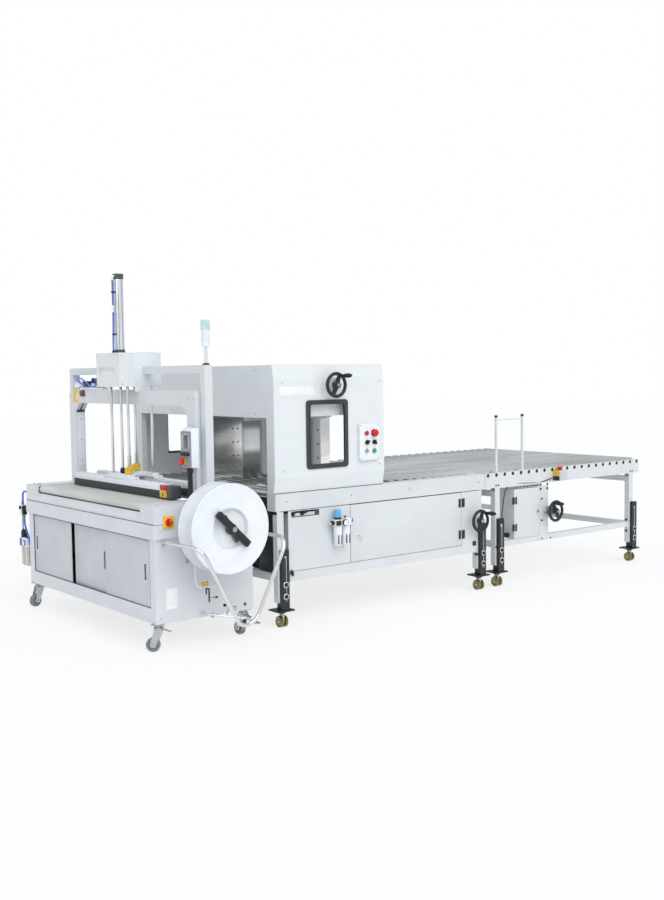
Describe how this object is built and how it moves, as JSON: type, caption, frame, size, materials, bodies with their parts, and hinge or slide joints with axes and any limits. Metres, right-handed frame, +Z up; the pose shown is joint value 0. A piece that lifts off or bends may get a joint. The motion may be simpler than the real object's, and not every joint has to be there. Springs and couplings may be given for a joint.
{
  "type": "in-line strapping machine with squaring gate and roller table",
  "caption": "Free-standing packaging line: arch strapping machine with press and reel, squaring gate and roller infeed table, on casters.",
  "frame": {"origin": "on the floor under the middle of the footprint", "axes": "+X along the line from the strapper to the end of the roller table, +Y away from the operator, +Z up"},
  "size_m": [4.133, 2.0974, 2.009],
  "materials": {
    "painted_steel": "light blue-grey powder coat, fine orange peel",
    "white_plastic": "moulded white plastic",
    "steel": "ground and brushed steel",
    "chrome": "chrome plate",
    "aluminium": "clear anodised extrusion",
    "black_plastic": "black moulded plastic",
    "grey_rubber": "grey rubber",
    "cream_belt": "cream PVC belt",
    "brass": "yellow zinc and brass",
    "red_plastic": "red plastic",
    "green_plastic": "green plastic"
  },
  "bodies": {
    "machine": {"strapper_cabinet": "painted_steel", "conveyor_belt": "cream_belt", "sealing_head": "steel", "gantry_frame": "painted_steel", "strap_arch": "painted_steel", "head_box": "painted_steel", "press_cylinder": "aluminium", "control_pendant": "painted_steel", "signal_tower": "white_plastic", "reel_guard": "chrome", "strapper_air_unit": "white_plastic", "gate_frame": "painted_steel", "near_cover": "painted_steel", "far_cover": "painted_steel", "gate_bridge": "painted_steel", "control_box": "white_plastic", "gate_air_unit": "white_plastic", "gate_rollers": "steel", "table_frame": "painted_steel", "table_rollers": "steel", "table_cabinet": "painted_steel"},
    "left_sliding_door": {"left_sliding_door": "painted_steel"},
    "right_sliding_door": {"right_sliding_door": "painted_steel"},
    "middle_sliding_door": {"middle_sliding_door": "painted_steel"},
    "press": {"press_yoke": "steel", "front_press_bar": "grey_rubber", "back_press_bar": "grey_rubber"},
    "pendant_stop_button": {"pendant_stop_button": "red_plastic"},
    "main_switch_knob": {"main_switch_knob": "red_plastic"},
    "reel": {"strap_reel": "white_plastic", "reel_clamp": "black_plastic"},
    "caster_fork_front_near": {"caster_fork_front_near": "chrome"},
    "caster_wheel_front_near": {"caster_wheel_front_near": "grey_rubber"},
    "caster_fork_front_far": {"caster_fork_front_far": "chrome"},
    "caster_wheel_front_far": {"caster_wheel_front_far": "grey_rubber"},
    "caster_fork_back_near": {"caster_fork_back_near": "chrome"},
    "caster_wheel_back_near": {"caster_wheel_back_near": "grey_rubber"},
    "caster_fork_back_far": {"caster_fork_back_far": "chrome"},
    "caster_wheel_back_far": {"caster_wheel_back_far": "grey_rubber"},
    "gate_cabinet_door": {"gate_cabinet_door": "painted_steel"},
    "gate_handwheel": {"gate_handwheel": "black_plastic"},
    "near_side_guide": {"near_side_guide": "steel"},
    "far_side_guide": {"far_side_guide": "steel"},
    "stop_button": {"stop_button": "red_plastic"},
    "start_button": {"start_button": "green_plastic"},
    "gate_emergency_stop": {"gate_emergency_stop": "red_plastic"},
    "left_selector": {"left_selector": "black_plastic"},
    "right_selector": {"right_selector": "black_plastic"},
    "height_handwheel": {"height_handwheel": "black_plastic"},
    "table_handwheel": {"table_handwheel": "black_plastic"},
    "table_cabinet_door": {"table_cabinet_door": "painted_steel"},
    "table_stop_button": {"table_stop_button": "red_plastic"},
    "gate_wheel_near_left": {"gate_wheel_near_left": "brass"},
    "gate_wheel_near_right": {"gate_wheel_near_right": "brass"},
    "gate_wheel_far_left": {"gate_wheel_far_left": "brass"},
    "gate_wheel_far_right": {"gate_wheel_far_right": "brass"},
    "table_wheel_near_left": {"table_wheel_near_left": "brass"},
    "table_wheel_near_right": {"table_wheel_near_right": "brass"},
    "table_wheel_far_left": {"table_wheel_far_left": "brass"},
    "table_wheel_far_right": {"table_wheel_far_right": "brass"}
  },
  "joints": [
    {"name": "left_door_slide", "type": "slide", "parent": "machine", "child": "left_sliding_door", "axis": [0, -1, 0], "range_m": [0, 0.2]},
    {"name": "right_door_slide", "type": "slide", "parent": "machine", "child": "right_sliding_door", "axis": [0, 1, 0], "range_m": [0, 0.2]},
    {"name": "middle_door_slide", "type": "slide", "parent": "machine", "child": "middle_sliding_door", "axis": [0, 1, 0], "range_m": [-0.38, 0.38]},
    {"name": "press_stroke", "type": "slide", "parent": "machine", "child": "press", "axis": [0, 0, 1], "range_m": [0, 0.385]},
    {"name": "pendant_stop_press", "type": "slide", "parent": "machine", "child": "pendant_stop_button", "axis": [1, 0, 0], "range_m": [0, 0.005]},
    {"name": "main_switch_turn", "type": "hinge", "parent": "machine", "child": "main_switch_knob", "pos_m": [-1.9595, -0.71625, 0.676], "axis": [0, -1, 0], "range_deg": [0, 90]},
    {"name": "reel_spin", "type": "hinge", "parent": "machine", "child": "reel", "pos_m": [-1.7305, -0.88225, 0.643], "axis": [0, 1, 0], "continuous": true},
    {"name": "caster_swivel_front_near", "type": "hinge", "parent": "machine", "child": "caster_fork_front_near", "pos_m": [-2.0015, -0.66125, 0.1497], "axis": [0, 0, 1], "continuous": true},
    {"name": "caster_roll_front_near", "type": "hinge", "parent": "caster_fork_front_near", "child": "caster_wheel_front_near", "pos_m": [-2.02448, -0.64197, 0.0375], "axis": [-0.6428, -0.766, 0], "continuous": true},
    {"name": "caster_swivel_front_far", "type": "hinge", "parent": "machine", "child": "caster_fork_front_far", "pos_m": [-1.9985, 0.84875, 0.1497], "axis": [0, 0, 1], "continuous": true},
    {"name": "caster_roll_front_far", "type": "hinge", "parent": "caster_fork_front_far", "child": "caster_wheel_front_far", "pos_m": [-2.02748, 0.84099, 0.0375], "axis": [0.2588, -0.9659, 0], "continuous": true},
    {"name": "caster_swivel_back_near", "type": "hinge", "parent": "machine", "child": "caster_fork_back_near", "pos_m": [-1.4715, -0.65125, 0.1497], "axis": [0, 0, 1], "continuous": true},
    {"name": "caster_roll_back_near", "type": "hinge", "parent": "caster_fork_back_near", "child": "caster_wheel_back_near", "pos_m": [-1.47411, -0.62136, 0.0375], "axis": [-0.9962, -0.0872, 0], "continuous": true},
    {"name": "caster_swivel_back_far", "type": "hinge", "parent": "machine", "child": "caster_fork_back_far", "pos_m": [-1.4715, 0.84875, 0.1497], "axis": [0, 0, 1], "continuous": true},
    {"name": "caster_roll_back_far", "type": "hinge", "parent": "caster_fork_back_far", "child": "caster_wheel_back_far", "pos_m": [-1.49748, 0.86375, 0.0375], "axis": [-0.5, -0.866, 0], "continuous": true},
    {"name": "gate_cabinet_door_hinge", "type": "hinge", "parent": "machine", "child": "gate_cabinet_door", "pos_m": [0.2045, -0.66555, 0.484], "axis": [0, 0, 1], "range_deg": [0, 95]},
    {"name": "gate_handwheel_turn", "type": "hinge", "parent": "machine", "child": "gate_handwheel", "pos_m": [-0.8485, -0.71825, 1.359], "axis": [0, -1, 0], "range_deg": [-3610, 3610]},
    {"name": "near_guide_slide", "type": "slide", "parent": "machine", "child": "near_side_guide", "axis": [0, 1, 0], "range_m": [-0.1, 0.1]},
    {"name": "far_guide_slide", "type": "slide", "parent": "machine", "child": "far_side_guide", "axis": [0, -1, 0], "range_m": [-0.101, 0.101]},
    {"name": "stop_button_press", "type": "slide", "parent": "machine", "child": "stop_button", "axis": [0, 1, 0], "range_m": [0, 0.005], "stiffness_N_per_m": 300},
    {"name": "start_button_press", "type": "slide", "parent": "machine", "child": "start_button", "axis": [0, 1, 0], "range_m": [0, 0.005], "stiffness_N_per_m": 300},
    {"name": "gate_emergency_stop_press", "type": "slide", "parent": "machine", "child": "gate_emergency_stop", "axis": [0, 1, 0], "range_m": [0, 0.005]},
    {"name": "left_selector_turn", "type": "hinge", "parent": "machine", "child": "left_selector", "pos_m": [-0.6035, -0.69055, 1.018], "axis": [0, -1, 0], "range_deg": [-45, 45]},
    {"name": "right_selector_turn", "type": "hinge", "parent": "machine", "child": "right_selector", "pos_m": [-0.5475, -0.69055, 1.018], "axis": [0, -1, 0], "range_deg": [-45, 45]},
    {"name": "height_handwheel_turn", "type": "hinge", "parent": "machine", "child": "height_handwheel", "pos_m": [0.3165, -0.72825, 0.467], "axis": [0, -1, 0], "range_deg": [-1800, 1800]},
    {"name": "table_handwheel_turn", "type": "hinge", "parent": "machine", "child": "table_handwheel", "pos_m": [1.0565, -0.72625, 0.465], "axis": [0, -1, 0], "range_deg": [-1800, 1800]},
    {"name": "table_cabinet_door_hinge", "type": "hinge", "parent": "machine", "child": "table_cabinet_door", "pos_m": [0.7015, -0.66605, 0.468], "axis": [0, 0, -1], "range_deg": [0, 110]},
    {"name": "table_stop_press", "type": "slide", "parent": "machine", "child": "table_stop_button", "axis": [0, 0, -1], "range_m": [0, 0.005]},
    {"name": "gate_wheel_roll_near_left", "type": "hinge", "parent": "machine", "child": "gate_wheel_near_left", "pos_m": [-1.2035, -0.64125, 0.033], "axis": [1, 0, 0], "continuous": true},
    {"name": "gate_wheel_roll_near_right", "type": "hinge", "parent": "machine", "child": "gate_wheel_near_right", "pos_m": [0.3845, -0.64125, 0.033], "axis": [1, 0, 0], "continuous": true},
    {"name": "gate_wheel_roll_far_left", "type": "hinge", "parent": "machine", "child": "gate_wheel_far_left", "pos_m": [-1.2035, 0.90175, 0.033], "axis": [1, 0, 0], "continuous": true},
    {"name": "gate_wheel_roll_far_right", "type": "hinge", "parent": "machine", "child": "gate_wheel_far_right", "pos_m": [0.3845, 0.90175, 0.033], "axis": [1, 0, 0], "continuous": true},
    {"name": "table_wheel_roll_near_left", "type": "hinge", "parent": "machine", "child": "table_wheel_near_left", "pos_m": [0.5575, -0.64125, 0.033], "axis": [1, 0, 0], "continuous": true},
    {"name": "table_wheel_roll_near_right", "type": "hinge", "parent": "machine", "child": "table_wheel_near_right", "pos_m": [1.9945, -0.64125, 0.033], "axis": [1, 0, 0], "continuous": true},
    {"name": "table_wheel_roll_far_left", "type": "hinge", "parent": "machine", "child": "table_wheel_far_left", "pos_m": [0.5575, 0.90175, 0.033], "axis": [1, 0, 0], "continuous": true},
    {"name": "table_wheel_roll_far_right", "type": "hinge", "parent": "machine", "child": "table_wheel_far_right", "pos_m": [1.9945, 0.90175, 0.033], "axis": [1, 0, 0], "continuous": true}
  ],
  "couplings": [
    {"joint": "far_guide_slide", "follows": "near_guide_slide", "ratio": 1},
    {"joint": "gate_handwheel_turn", "follows": "near_guide_slide", "rad_per_m": 628.32}
  ]
}
